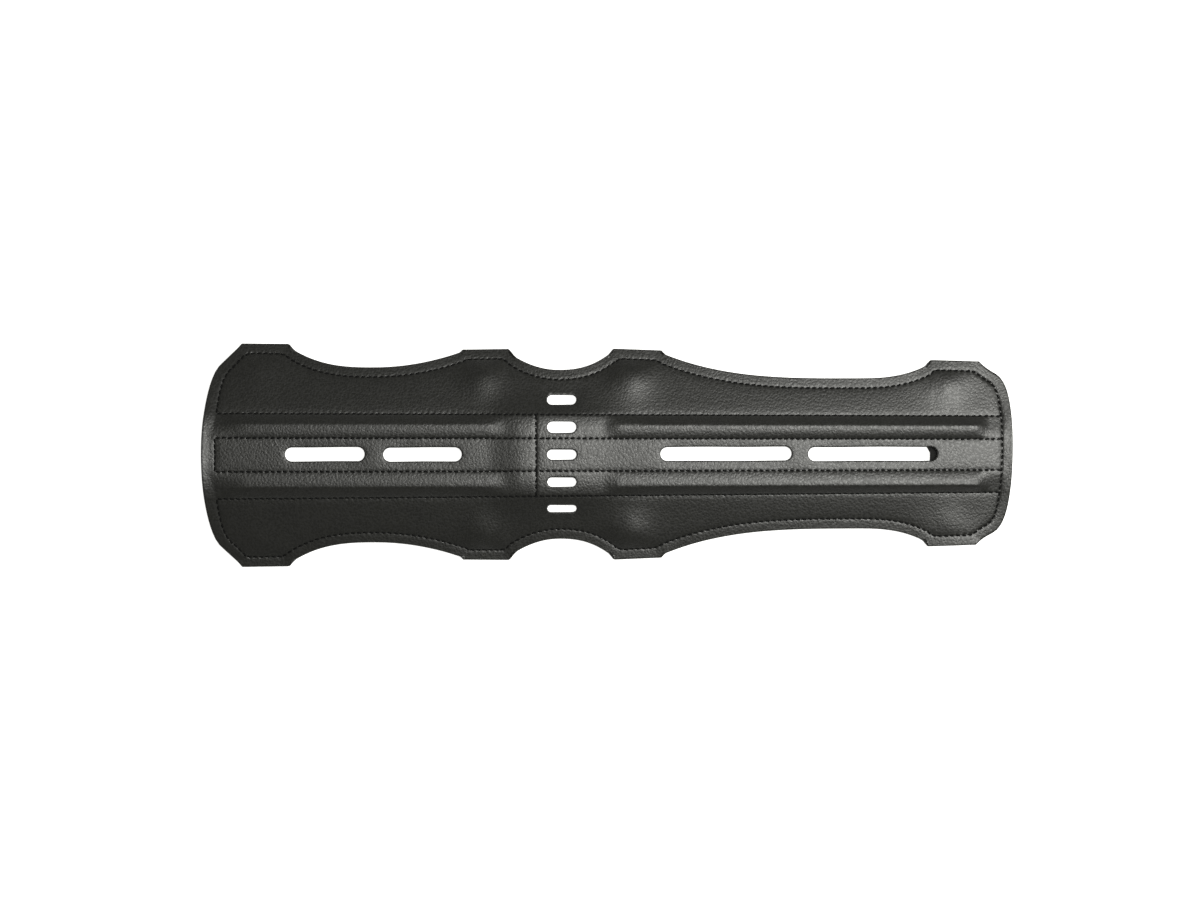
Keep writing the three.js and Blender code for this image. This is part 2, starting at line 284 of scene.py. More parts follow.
def endLines(end, wingShare=0.88):       # the end's edge, and the end seam inside it
    edge = []
    for controls in end["edge"]:
        edge += curvePoints(controls)[1 if edge else 0:]
    edge = evenPoints(edge, 1.0)
    corner, flange = edge[-1], plan["flange"]
    seam = []
    for i, (a, b) in enumerate(zip(edge, edge[1:])):
        run = (b - a).normalized()
        inset = mix(end["seamInset"], flange, i / len(edge))
        point = Vector((a.x - end["outward"] * run.y * inset, a.y - abs(run.x) * inset))
        if point.y < corner.y - flange:
            seam.append(point)
    top = Vector((corner.x - end["outward"] * plan["seamCorner"], corner.y - flange))
    seam.append(top)
    inner, outer = innerSeam(top.x), outerSeam(top.x)
    edgeWing, seamWing = fromY(edge, outer), fromY(seam, outer)
    edgeLength, seamLength = lengths(edgeWing)[-1], lengths(seamWing)[-1]

    def middle(points, row):
        low, high = (0, inner) if row[0] == "strip" else (inner, outer)
        return pointAtY(points, mix(low, high, zoneShare(row, high - low)))

    def edgePlace(row):
        if row[0] in ("strip", "channel"):
            return middle(edge, row)
        if row[0] == "wing":
            return pointsAt(edgeWing, [edgeLength * wingShare * zoneShare(row, seamLength)])[0]
        return pointsAt(edgeWing, [edgeLength * mix(wingShare, 1, zoneShare(row, flange))])[0]

    def seamPlace(row):
        if row[0] in ("strip", "channel"):
            return middle(seam, row)
        if row[0] == "wing":
            return pointsAt(seamWing, [seamLength * zoneShare(row, seamLength)])[0]
        return top.lerp(Vector((top.x, corner.y)), zoneShare(row, flange))
    return edgePlace, seamPlace


# Columns are (line, rim, full): rim is 1 on the end's edge and 0 from the end seam on,
# full is 0 on the end seam and 1 where the padding has its whole height.

def blendColumn(a, b, share, rim, full):
    return (lambda row: a(row).lerp(b(row), share)), rim, full


def endColumns(end, flangeShares, bodyShares):
    edge, seam = endLines(end)
    first = straightLine(end["firstLine"])
    columns = [blendColumn(edge, seam, s, 1 - s, 0.0) for s in flangeShares]
    for s in bodyShares:
        columns.append(blendColumn(seam, first, s, 0.0, math.sin(math.pi / 2 * s) ** plan["padRise"]))
    return columns


def allColumns(spacing, flangeShares, bodyShares):
    start, end = plan["upperArmEnd"]["firstLine"], plan["wristEnd"]["firstLine"]
    count = round((end - start) / spacing)
    columns = endColumns(plan["upperArmEnd"], flangeShares, bodyShares)
    xs = [mix(start, end, k / count) for k in range(count + 1)]
    cross, fine, beside = plan["crossSeam"], seams["pitch"] / seams["fineSteps"], seams["fineBeside"]
    xs = [x for x in xs if abs(x - cross) > (beside + 0.5) * fine]
    xs += [cross + fine * k for k in range(-beside, beside + 1)]
    columns += [(straightLine(x), 0.0, 1.0) for x in sorted(xs)]
    return columns + endColumns(plan["wristEnd"], flangeShares, bodyShares)[::-1]


def zoneRows(zone, near, between, far):
    rows = [(zone, distance, 0.0) for distance in near]
    first, last = (near or [0.0])[-1], (far or [0.0])[0]
    for k in range(1, between + 1):
        share = k / (between + 1)
        rows.append((zone, first - (first + last) * share, share))
    return rows + [(zone, -distance, 1.0) for distance in far]


def planPoint(line, row, side):          # a row's place on the upper or the lower half
    x, y = line(row)
    y *= side
    inner, outer, seam = innerSeam(x), outerSeam(x), edgeSeam(x)
    strip = mix(*plan["stripShift"], alongArm(x))
    upper = mix(*plan["upperSeamShift"], alongArm(x)) if side > 0 else 0.0
    if row[0] == "strip":
        y += strip
    if row[0] == "channel":
        y += mix(strip, upper, zoneShare(row, outer - inner))
    if row[0] == "wing":
        y += mix(upper, 0.0, zoneShare(row, seam - outer))
    return Vector((x + plan["wristSlant"] * max(0.0, x) * y, y))


# A grid of verts by (column, row), shaped in plan, with the slots left open

def gridMesh(columns, halfRows):
    rows = [(row, -1) for row in halfRows[:0:-1]] + [(row, 1) for row in halfRows]
    bm = bmesh.new()
    bmesh.ops.create_grid(bm, x_segments=len(columns) - 1, y_segments=len(rows) - 1, size=1.0)
    verts = {}
    for vert in bm.verts:
        c = round((vert.co.x + 1) / 2 * (len(columns) - 1))
        r = round((vert.co.y + 1) / 2 * (len(rows) - 1))
        verts[c, r] = vert
    for c, (line, _, _) in enumerate(columns):
        for r, (row, side) in enumerate(rows):
            verts[c, r].co = planPoint(line, row, side).to_3d()
    return bm, verts, rows


def outside(row):        # how far a row lies outside the edge seam
    return plan["flange"] * zoneShare(row, plan["flange"]) if row[0] == "flange" else 0.0


def thicken(bm, under):  # a closed layer: the grid stays above, its copy goes to the heights in under
    above = {vert.co.to_tuple(6): under[vert] for vert in bm.verts}
    made = bmesh.ops.extrude_face_region(bm, geom=bm.faces[:], use_keep_orig=True)["geom"]
    for vert in made:
        if isinstance(vert, bmesh.types.BMVert):
            vert.co.z = above[vert.co.to_tuple(6)]


def ontoSlot(u, v, halfLength, radius):  # from the border of a rectangle to that of its round-ended slot
    straight = halfLength - radius
    beyond = abs(u) - straight
    if beyond <= 0:
        return u, math.copysign(radius, v)
    onEnd = abs(abs(u) - halfLength) < 1e-6
    path = 2 * radius - abs(v) if onEnd else beyond
    angle = math.pi / 2 * (1 - path / (2 * radius))
    return (math.copysign(straight + radius * math.cos(angle), u), math.copysign(radius * math.sin(angle), v))


def openSlot(bm, verts, slot, reach=5, endShape=None):
    edgeXs = {c: vert.co.x for (c, r), vert in verts.items() if r == 0}
    left = min(edgeXs, key=lambda c: abs(edgeXs[c] - slot["start"]))
    right = min(edgeXs, key=lambda c: abs(edgeXs[c] - slot["end"]))
    rowYs = {r: vert.co.y for (c, r), vert in verts.items() if c == (left + right) // 2}
    low = min(rowYs, key=lambda r: abs(rowYs[r] - slot["y"] + slot["width"] / 2))
    high = min(rowYs, key=lambda r: abs(rowYs[r] - slot["y"] - slot["width"] / 2))
    middle = Vector(((slot["start"] + slot["end"]) / 2, slot["y"]))
    halfLength, radius = (slot["end"] - slot["start"]) / 2, slot["width"] / 2
    moves = {}
    for c in range(left, right + 1):
        for r in range(low, high + 1):
            if left < c < right and low < r < high:
                continue
            u = 2 * halfLength * (c - left) / (right - left) - halfLength
            v = 2 * radius * (r - low) / (high - low) - radius
            u, v = ontoSlot(u, v, halfLength, radius)
            if endShape and u > halfLength - radius:
                u = endShape(v) - middle.x
            phase = 2 * math.pi * (middle.x + u) / plan["slotWave"] + math.copysign(plan["slotPhase"], v)
            v *= 1 + plan["slotWaver"] / radius * math.sin(phase)
            moves[c, r] = middle + Vector((u, v)) - verts[c, r].co.to_2d()
    inside = {verts[c, r] for c in range(left, right + 1) for r in range(low, high + 1)}
    for c in range(left - reach + 1, right + reach):
        for r in range(low - reach + 1, high + reach):
            near = (clamp(c, left, right), clamp(r, low, high))
            ring = max(abs(c - near[0]), abs(r - near[1]))
            if near in moves and (c, r) in verts:
                verts[c, r].co += (moves[near] * (1 - ease(ring, 0, reach))).to_3d()
    bmesh.ops.delete(bm, geom=[f for f in bm.faces if inside.issuperset(f.verts)], context="FACES")
    for key in [key for key, vert in verts.items() if not vert.is_valid]:
        del verts[key]


def slotList(endName):
    slots = []
    for slot in plan["longSlots"]:
        end = slot.get(endName, slot["end"])
        slots.append({"start": slot["start"], "end": end, "y": slot["y"], "width": plan["longSlotWidth"]})
    for slot in plan["shortSlots"]:
        slots.append({"start": plan["shortSlotStart"], "end": plan["shortSlotEnd"], **slot})
    return slots


# Seams: lines of stitches, in plan

seams = {
    "pitch": 2.55,       # from one stitch to the next
    "dent": (-0.45, -0.2, 0.0, 0.2, 0.45),   # places along a stitch that press into the leather
    "fineSteps": 8, "fineBeside": 3,         # to a stitch, and how many beside the cross seam
}


def seamPaths():
    innerRow, outerRow, edgeRow = ("channel", 0.0, 0.0), ("wing", 0.0, 0.0), ("flange", 0.0, 0.0)
    upperArm, wrist = plan["upperArmEnd"], plan["wristEnd"]
    leftSeam, rightSeam = endLines(upperArm)[1], endLines(wrist)[1]
    bodySteps, endSteps = 600, 60
    xs = [mix(upperArm["firstLine"], wrist["firstLine"], k / bodySteps) for k in range(bodySteps + 1)]
    lines = [straightLine(x) for x in xs]
    shares = [k / endSteps for k in range(endSteps + 1)]
    paths, halves = [], []
    for side in (1, -1):
        leftWing = [planPoint(leftSeam, ("wing", 0.0, s), side) for s in shares]
        edge = [planPoint(line, edgeRow, side) for line in lines]
        rightEnd = [planPoint(rightSeam, ("wing", 0.0, s), side) for s in reversed(shares)]
        for zone in ("channel", "strip"):
            rightEnd += [planPoint(rightSeam, (zone, 0.0, s), side) for s in reversed(shares[:-1])]
        halves.append(leftWing + edge + rightEnd)
        for row in (innerRow, outerRow):
            paths.append([planPoint(line, row, side) for line in [leftSeam, *lines, rightSeam]])
    edgeLine = halves[0] + halves[1][-2::-1]
    paths.append(edgeLine)
    paths.append([planPoint(leftSeam, ("strip", 0.0, s), 1) for s in reversed(shares)]
                 + [planPoint(leftSeam, ("strip", 0.0, s), -1) for s in shares[1:]])
    cross = straightLine(plan["crossSeam"])
    paths.append([planPoint(cross, outerRow, 1), planPoint(cross, outerRow, -1)])
    return paths, edgeLine


def stitchPlaces(path):  # (middle, direction) of each stitch
    holes = evenPoints(path, seams["pitch"])
    return [((a + b) / 2, (b - a).normalized()) for a, b in zip(holes, holes[1:])]


def tree(points):
    found = KDTree(len(points))
    for i, point in enumerate(points):
        found.insert((point.x, point.y, 0.0), i)
    found.balance()
    return found


seamLines, edgeSeamLine = seamPaths()
stitches = [place for path in seamLines for place in stitchPlaces(path)]
dentTree = tree([middle + direction * along for middle, direction in stitches for along in seams["dent"]])
edgeTree = tree(evenPoints(edgeSeamLine, seams["pitch"] / seams["fineSteps"]))
print("seams:", len(seamLines), "lines,", len(stitches), "stitches")

# Helpers for meshes and materials

def newPiece(name, bm, material, smooth=True):
    mesh = bpy.data.meshes.new(name)
    bm.to_mesh(mesh)
    bm.free()
    mesh.materials.append(material)
    mesh.polygons.foreach_set("use_smooth", [smooth] * len(mesh.polygons))
    piece = bpy.data.objects.new(name, mesh)
    bpy.context.scene.collection.objects.link(piece)
    return piece


def linear(hexColour):   # sRGB hex to a linear colour
    channels = [int(hexColour[i:i + 2], 16) / 255 for i in (1, 3, 5)]
    return [c / 12.92 if c <= 0.04045 else ((c + 0.055) / 1.055) ** 2.4 for c in channels] + [1.0]


def newMaterial(name):
    material = bpy.data.materials.new(name)
    material.use_nodes = True
    material.node_tree.nodes.clear()
    return material


def addNode(material, kind, settings=None, values=None, links=None):
    node = material.node_tree.nodes.new(kind)
    for name, value in (settings or {}).items():
        setattr(node, name, value)
    for socket, value in (values or {}).items():
        node.inputs[socket].default_value = value
    for socket, source in (links or {}).items():
        material.node_tree.links.new(source, node.inputs[socket])
    return node


# Materials

leather = {
    "colour": "#1c1c1a", "worn": "#22221f",
    "roughness": (0.28, 0.4),            # on the pebbles of the grain, and in the pits between them
    "grain": 0.95, "grainDepth": 0.064,  # about 0.7 mm on the real skin, coarser here so that it shows
    "pebble": (0.12, 0.6),               # from a pebble's top to the pit beside it, in shares of the grain
    "crease": 0.9, "creaseLength": 3.2, "creaseDepth": 0.034, "creaseTurns": (24.0, -40.0),
    "patch": 22.0, "patchEdge": (0.42, 0.58),    # the areas that are creased one way or the other
    "bend": 6.0, "sway": 1.2,            # the grain and creases wander over this length, and this far
}


def syntheticLeather():  # PU leather with an embossed grain: black, with a soft broad sheen and fine creases
    material = newMaterial("embossed black synthetic leather")
    place = addNode(material, "ShaderNodeTexCoord").outputs["Object"]
    patch, bent = [addNode(material, "ShaderNodeTexNoise",
                           values={"Scale": 1 / (leather[size] * mm), "Detail": 2.0},
                           links={"Vector": place}) for size in ("patch", "bend")]
    sway = leather["sway"] * mm
    swayed = addNode(material, "ShaderNodeVectorMath", {"operation": "MULTIPLY_ADD"},
                     {1: (sway, sway, 0.0)}, {0: bent.outputs["Color"], 2: place})
    across, along = leather["crease"] * mm, leather["creaseLength"] * mm
    creases = []
    for turn in leather["creaseTurns"]:
        turned = addNode(material, "ShaderNodeMapping", {"vector_type": "TEXTURE"},
                         {"Rotation": (0, 0, math.radians(turn)), "Scale": (across, along, along)},
                         {"Vector": swayed.outputs["Vector"]})
        creases.append(addNode(material, "ShaderNodeTexNoise", {"noise_type": "RIDGED_MULTIFRACTAL"},
                               {"Scale": 1.0, "Detail": 2.0, "Roughness": 0.5, "Lacunarity": 2.2},
                               {"Vector": turned.outputs["Vector"]}).outputs["Fac"])
    oneWay, otherWay = leather["patchEdge"]
    side = addNode(material, "ShaderNodeMapRange", values={"From Min": oneWay, "From Max": otherWay},
                   links={"Value": patch.outputs["Fac"]})
    crease = addNode(material, "ShaderNodeMix", {"data_type": "FLOAT"},
                     links={"Factor": side.outputs["Result"], "A": creases[0], "B": creases[1]})
    grain = addNode(material, "ShaderNodeTexVoronoi", {"feature": "SMOOTH_F1"},
                    {"Scale": 1 / (leather["grain"] * mm), "Smoothness": 0.5},
                    {"Vector": swayed.outputs["Vector"]})
    colour = addNode(material, "ShaderNodeMix", {"data_type": "RGBA"},
                     {"A": linear(leather["colour"]), "B": linear(leather["worn"])},
                     {"Factor": bent.outputs["Fac"]})
    (top, pit), (low, high) = leather["pebble"], leather["roughness"]
    gloss = addNode(material, "ShaderNodeMapRange",
                    values={"From Min": top, "From Max": pit, "To Min": low, "To Max": high},
                    links={"Value": grain.outputs["Distance"]})
    creased = addNode(material, "ShaderNodeBump",
                      values={"Strength": 1.0, "Distance": leather["creaseDepth"] * mm},
                      links={"Height": crease.outputs["Result"]})
    pebbled = addNode(material, "ShaderNodeBump",
                      values={"Strength": 1.0, "Distance": leather["grainDepth"] * mm},
                      links={"Height": grain.outputs["Distance"], "Normal": creased.outputs["Normal"]})
    shader = addNode(material, "ShaderNodeBsdfPrincipled", values={"IOR": 1.5},
                     links={"Base Color": colour.outputs["Result"], "Roughness": gloss.outputs["Result"],
                            "Normal": pebbled.outputs["Normal"]})
    addNode(material, "ShaderNodeOutputMaterial", links={"Surface": shader.outputs["BSDF"]})
    return material


lining = {"colour": "#111110", "lighter": "#1b1b1a", "nap": 0.9, "napDepth": 0.15}


def brushedLining():     # brushed knit lining: matt, nearly black, with a soft nap
    material = newMaterial("brushed black lining cloth")
    place = addNode(material, "ShaderNodeTexCoord").outputs["Object"]
    nap = addNode(material, "ShaderNodeTexNoise",
                  values={"Scale": 1 / (lining["nap"] * mm), "Detail": 4.0}, links={"Vector": place})
    colour = addNode(material, "ShaderNodeMix", {"data_type": "RGBA"},
                     {"A": linear(lining["colour"]), "B": linear(lining["lighter"])},
                     {"Factor": nap.outputs["Fac"]})
    bump = addNode(material, "ShaderNodeBump",
                   values={"Strength": 0.6, "Distance": lining["napDepth"] * mm},
                   links={"Height": nap.outputs["Fac"]})
    shader = addNode(material, "ShaderNodeBsdfPrincipled", values={"Roughness": 0.95, "Sheen Weight": 0.1},
                     links={"Base Color": colour.outputs["Result"], "Normal": bump.outputs["Normal"]})
    addNode(material, "ShaderNodeOutputMaterial", links={"Surface": shader.outputs["BSDF"]})
    return material


thread = {"colour": "#070707", "lighter": "#0e0e0e", "twist": 0.4, "twistDepth": 0.05}


def polyesterThread():   # bonded polyester: black, with a slight gloss on the twist
    material = newMaterial("bonded black polyester thread")
    place = addNode(material, "ShaderNodeTexCoord").outputs["Object"]
    twist = addNode(material, "ShaderNodeTexNoise",
                    values={"Scale": 1 / (thread["twist"] * mm), "Detail": 1.0}, links={"Vector": place})
    colour = addNode(material, "ShaderNodeMix", {"data_type": "RGBA"},
                     {"A": linear(thread["colour"]), "B": linear(thread["lighter"])},
                     {"Factor": twist.outputs["Fac"]})
    bump = addNode(material, "ShaderNodeBump",
                   values={"Strength": 0.5, "Distance": thread["twistDepth"] * mm},
                   links={"Height": twist.outputs["Fac"]})
    shader = addNode(material, "ShaderNodeBsdfPrincipled",
                     values={"Roughness": 0.65, "Specular IOR Level": 0.12},
                     links={"Base Color": colour.outputs["Result"], "Normal": bump.outputs["Normal"]})
    addNode(material, "ShaderNodeOutputMaterial", links={"Surface": shader.outputs["BSDF"]})
    return material


# Face: padded leather skin, with the ribs and pads raised between the seams

face = {
    "thickness": 1.5,
    "columns": seams["pitch"] / 4,       # spacing along the arm, four to a stitch
    "endFlange": [0.0, 0.2, 0.4, 0.58, 0.74, 0.86, 0.94, 1.0],
    "endBody": [0.018, 0.042, 0.08] + [0.08 + 0.92 * k / 23 for k in range(1, 23)],
    "rows": (zoneRows("strip", [0.0], 7, [0.7, 0.3])
             + zoneRows("channel", [0.0, 0.3, 0.7], 0, [])
             + [("channel", 0.0, s) for s in (0.17, 0.27, 0.37, 0.46, 0.52, 0.56, 0.6, 0.64, 0.7, 0.78, 0.86)]
             + zoneRows("channel", [], 0, [0.7, 0.3])
             + zoneRows("wing", [0.0, 0.3, 0.7], 9, [0.8, 0.35])
             + zoneRows("flange", [0.0, 0.35, 0.8], 2, [0.5, 0.0])),
    "elbow": (-68.0, -40.0, -4.0, 24.0),     # here the wings start level with the panel
    "hump": 0.9, "humpRise": (-51.0, -35.0), "humpFall": (-30.0, 6.0),   # the panel is bent up at the elbow
    "slotSag": 0.17, "slotSagWidth": 2.5, "slotSagRamp": 9.0,    # the panel sags towards its long slots
    # a swell at each ear: place and reach along the arm, peak across the wing, upper and lower height
    "pads": [
        {"x": -147.0, "reach": 8.5, "peak": 0.7, 1: 0.4, -1: 0.3},
        {"x": -52.0, "reach": 8.5, "peak": 0.7, 1: 1.4, -1: 1.2},
        {"x": 10.0, "reach": 8.5, "peak": 0.71, 1: 1.5, -1: 1.5},
        {"x": 143.0, "reach": 7.6, "peak": 0.68, 1: 0.88, -1: 0.33},
    ],
    "ribRise": (0.48, 1.03), "ribRound": (0.04, 0.12),   # at the first ears and at the last ears
    "ribCrest": {1: (0.58, 0.59), -1: (0.59, 0.69)},     # its place across the channel, upper and lower
    "ribPower": {1: 2.0, -1: 1.4},                       # how hollow its inner side is
    "ribs": [            # an upper and a lower one each
        {"start": -165.0, "rampIn": 15.0, "end": -37.5, "rampOut": 13.0},
        {"start": -2.5, "rampIn": 8.0, "end": 161.0, "rampOut": 7.0},
    ],
    "dent": 0.2, "dentWidth": 0.37,      # under each stitch
    "crossGroove": 0.11, "crossGrooveWidth": 0.8,    # the cross seam pulls the whole panel down
    "wristGroove": 0.14, "wristGrooveWidth": 0.7,    # and so does the edge seam along the wrist
    "wristGrooveRamp": (146.0, 158.0),
    "rim": 0.35,                         # rounding of the cut edges
}

# The padding presses the leather out between its seams, and the leather has a little length to spare.
# The cloth is simulated ten times as large, and its swell is kept small.

swell = {
    "scale": 0.01, "frames": 20, "pressure": 0.4,
    "spare": 0.0015,     # share of its length
    "seamHold": 0.9,     # the seams hold the leather down this far beside them
    "smooth": 12,        # rounds of smoothing
    "cap": 0.12,
}


def swellSkin(bm, held):
    bm.verts.index_update()
    mesh = bpy.data.meshes.new("skin")
    bm.to_mesh(mesh)
    mesh.transform(Matrix.Scale(swell["scale"], 4))
    skin = bpy.data.objects.new("skin", mesh)
    bpy.context.scene.collection.objects.link(skin)
    skin.vertex_groups.new(name="held").add([vert.index for vert in held], 1.0, "REPLACE")
    cloth = skin.modifiers.new("swell", "CLOTH")
    cloth.collision_settings.use_collision = False
    cloth.point_cache.frame_end = swell["frames"]
    settings = cloth.settings
    settings.quality = 5
    settings.mass = 0.3
    settings.tension_stiffness = settings.compression_stiffness = 15.0
    settings.shear_stiffness = 10.0
    settings.bending_stiffness = 0.4
    settings.use_pressure = True
    settings.uniform_pressure_force = swell["pressure"]
    settings.shrink_min = -swell["spare"]
    settings.vertex_group_mass = "held"
    settings.effector_weights.gravity = 0.0
    for frameNumber in range(1, swell["frames"] + 1):
        bpy.context.scene.frame_set(frameNumber)
    shown = skin.evaluated_get(bpy.context.evaluated_depsgraph_get()).data
    cap, still = swell["cap"], set(held)
    moves = [made.co.z / swell["scale"] - vert.co.z for vert, made in zip(bm.verts, shown.vertices)]
    around = [[edge.other_vert(vert).index for edge in vert.link_edges] for vert in bm.verts]
    loose = [vert.index for vert in bm.verts if vert not in still]
    for _ in range(swell["smooth"]):     # the leather is too stiff for the cloth's finest ripples
        smoothed = {i: sum(moves[j] for j in around[i]) / len(around[i]) for i in loose}
        for i, move in smoothed.items():
            moves[i] = move
    for vert, move in zip(bm.verts, moves):
        vert.co.z += cap * math.tanh(move / cap)
    bpy.context.scene.frame_set(1)
    bpy.data.objects.remove(skin)
    bpy.data.meshes.remove(mesh)
    print("swell:", round(min(moves), 3), "to", round(max(moves), 3), "mm before the cap")


def ribAlong(x):
    shares = [ease(x, rib["start"], rib["start"] + rib["rampIn"])
              * (1 - ease(x, rib["end"] - rib["rampOut"], rib["end"])) for rib in face["ribs"]]
    return max(shares)


def softMin(a, b, rounding):
    return -rounding * math.log(math.exp(-a / rounding) + math.exp(-b / rounding))


def ribSection(x, side, at, foot):   # a gentle inner side, a level crest, a steep outer side down to the foot
    along = alongArm(x)
    rise, crestAt = mix(*face["ribRise"], along), mix(*face["ribCrest"][side], along)
    crest = plan["panelLift"] + rise
    inner = crest - rise * max(0.0, 1 - at / crestAt) ** face["ribPower"][side]
    outer = mix(foot, crest, (1 - at) / (1 - crestAt))
    return softMin(inner, outer, mix(*face["ribRound"], along))


def slotSag(x, y):
    ramp = face["slotSagRamp"]
    beside = max(ease(x, s["start"], s["start"] + ramp) * (1 - ease(x, s["end"] - ramp, s["end"]))
                 for s in plan["longSlots"])
    away = max(0.0, abs(y) - plan["longSlotWidth"] / 2) / face["slotSagWidth"]
    return face["slotSag"] * beside * math.exp(-away ** 2)


def paddingHeight(row, x, y):    # over the plain thickness
    zone, side = row[0], (1 if y > 0 else -1)
    widths = {"strip": innerSeam(x), "channel": outerSeam(x) - innerSeam(x), "wing": wingWidth(x),
              "flange": plan["flange"]}
    at = zoneShare(row, widths[zone])
    first, full, last, none = face["elbow"]
    hump = face["hump"] * ease(x, *face["humpRise"]) * (1 - ease(x, *face["humpFall"]))
    foot = plan["panelLift"] * ease(x, first, full) * (1 - ease(x, last, none)) + hump
    level = plan["panelLift"] + hump
    groove = face["crossGroove"] * math.exp(-((x - plan["crossSeam"]) / face["crossGrooveWidth"]) ** 2)
    if zone == "strip":
        return level - slotSag(x, y) - groove
    if zone == "channel":
        plain = mix(level, foot, ease(at, 0, 1))
        return mix(plain, ribSection(x, side, at, foot), ribAlong(x)) - groove
    if zone == "wing":
        pad = 0.0
        for swelling in face["pads"]:
            skew = math.log(0.5) / math.log(swelling["peak"])    # puts the peak in its place
            nearby = math.exp(-((x - swelling["x"]) / swelling["reach"]) ** 2)
            pad += swelling[side] * nearby * math.sin(math.pi * at ** skew)
        return pad + foot * (1 - at) ** 2
    return 0.0


def makeFace(material):
    columns = allColumns(face["columns"], face["endFlange"], face["endBody"])
    bm, verts, rows = gridMesh(columns, face["rows"])
    for slot in slotList("end"):
        openSlot(bm, verts, slot)
    under, held = {}, []
    for (c, r), vert in verts.items():
        _, rim, full = columns[c]
        row = rows[r][0]
        x, y, flat = vert.co.x, vert.co.y, vert.co.copy()
        pad = paddingHeight(row, x, y) * (full if row[0] == "wing" else 1)
        under[vert] = archHeight(x, y) + edgeLift(row, x, y, rim)
        z = under[vert] + face["thickness"] + pad * (1 - ease(rim, 0, plan["padEnd"]))
        toStitch = dentTree.find(flat)[2]
        z -= face["dent"] * math.exp(-(toStitch / face["dentWidth"]) ** 2)
        groove = math.exp(-(edgeTree.find(flat)[2] / face["wristGrooveWidth"]) ** 2)
        vert.co.z = z - face["wristGroove"] * groove * ease(x, *face["wristGrooveRamp"])
        if toStitch < swell["seamHold"] or row[0] == "flange" or rim > 0 or vert.is_boundary:
            held.append(vert)
    swellSkin(bm, held)
    rimEdges = [edge for edge in bm.edges if edge.is_boundary]
    thicken(bm, under)
    bmesh.ops.recalc_face_normals(bm, faces=bm.faces[:])
    bmesh.ops.bevel(bm, geom=rimEdges, offset=face["rim"], segments=2, profile=0.5, affect="EDGES",
                    material=-1)
    bmesh.ops.scale(bm, vec=(mm, mm, mm), verts=bm.verts[:])
    print("face:", len(bm.faces), "faces")
    return newPiece("padded_face", bm, material)


# Backing: one plain layer of lining under the face, pressed flat where it touches the table

backing = {
    "thickness": 1.0,
    "gap": 0.3,          # to the face
    "columns": seams["pitch"] / 2,
    "endFlange": [0.0, 0.25, 0.5, 0.75, 1.0],
    "endBody": [k / 14 for k in range(1, 14)],
    "rows": (zoneRows("strip", [0.0], 7, [])
             + zoneRows("channel", [0.0], 6, [])
             + zoneRows("wing", [0.0], 9, [])
             + zoneRows("flange", [0.0], 2, [0.0])),
    "lastSlotEnd": [(3.15, 133.8), (0.4, 135.3), (-3.15, 135.2)],    # (y, x) of its ragged cut
    "flat": (0.0945, 0.341), "area": 0.0254,     # laid out, in metres
}


def lastSlotEnd(y):
    places = backing["lastSlotEnd"]
    for (ay, ax), (by, bx) in zip(places, places[1:]):
        if y >= by:
            return mix(ax, bx, (ay - y) / (ay - by))
    return places[-1][1]


def makeBacking(material):
    columns = allColumns(backing["columns"], backing["endFlange"], backing["endBody"])
    bm, verts, rows = gridMesh(columns, backing["rows"])
    for i, slot in enumerate(slotList("backingEnd")):
        last = i == len(plan["longSlots"]) - 1
        openSlot(bm, verts, slot, reach=4, endShape=lastSlotEnd if last else None)
    under = {}
    for (c, r), vert in verts.items():
        x, y = vert.co.x, vert.co.y
        vert.co.z = archHeight(x, y) + edgeLift(rows[r][0], x, y, columns[c][1]) - backing["gap"]
        under[vert] = max(0.0, vert.co.z - backing["thickness"])
    thicken(bm, under)
    bmesh.ops.recalc_face_normals(bm, faces=bm.faces[:])
    bmesh.ops.scale(bm, vec=(mm, mm, mm), verts=bm.verts[:])
    print("backing:", len(bm.faces), "faces")
    return newPiece("backing_cloth", bm, material)


# Stitching: every stitch is a short plump thread whose ends dive into the leather

stitch = {
    "length": 2.08, "width": 0.9, "height": 0.56,
    "stand": 0.06,       # its middle over the leather
    "slant": 11.0,       # degrees, as a lockstitch lies in its seam
    "blunt": 0.6,        # 1 is an ellipsoid, less is blunter
}


def oneStitch():
    bm = bmesh.new()
    lying = Matrix.Rotation(math.radians(90), 3, "Y")
    bmesh.ops.create_uvsphere(bm, u_segments=6, v_segments=6, radius=0.5)
    bmesh.ops.rotate(bm, matrix=lying, verts=bm.verts[:])
    for vert in bm.verts:
        vert.co.x = math.copysign(abs(2 * vert.co.x) ** stitch["blunt"] / 2, vert.co.x)
    bmesh.ops.scale(bm, vec=(stitch["length"], stitch["width"], stitch["height"]), verts=bm.verts[:])
    bmesh.ops.translate(bm, vec=(0, 0, stitch["stand"]), verts=bm.verts[:])
    bmesh.ops.scale(bm, vec=(mm, mm, mm), verts=bm.verts[:])
    points = [vert.co.copy() for vert in bm.verts]
    corners = [[vert.index for vert in polygon.verts] for polygon in bm.faces]
    bm.free()
    return points, corners


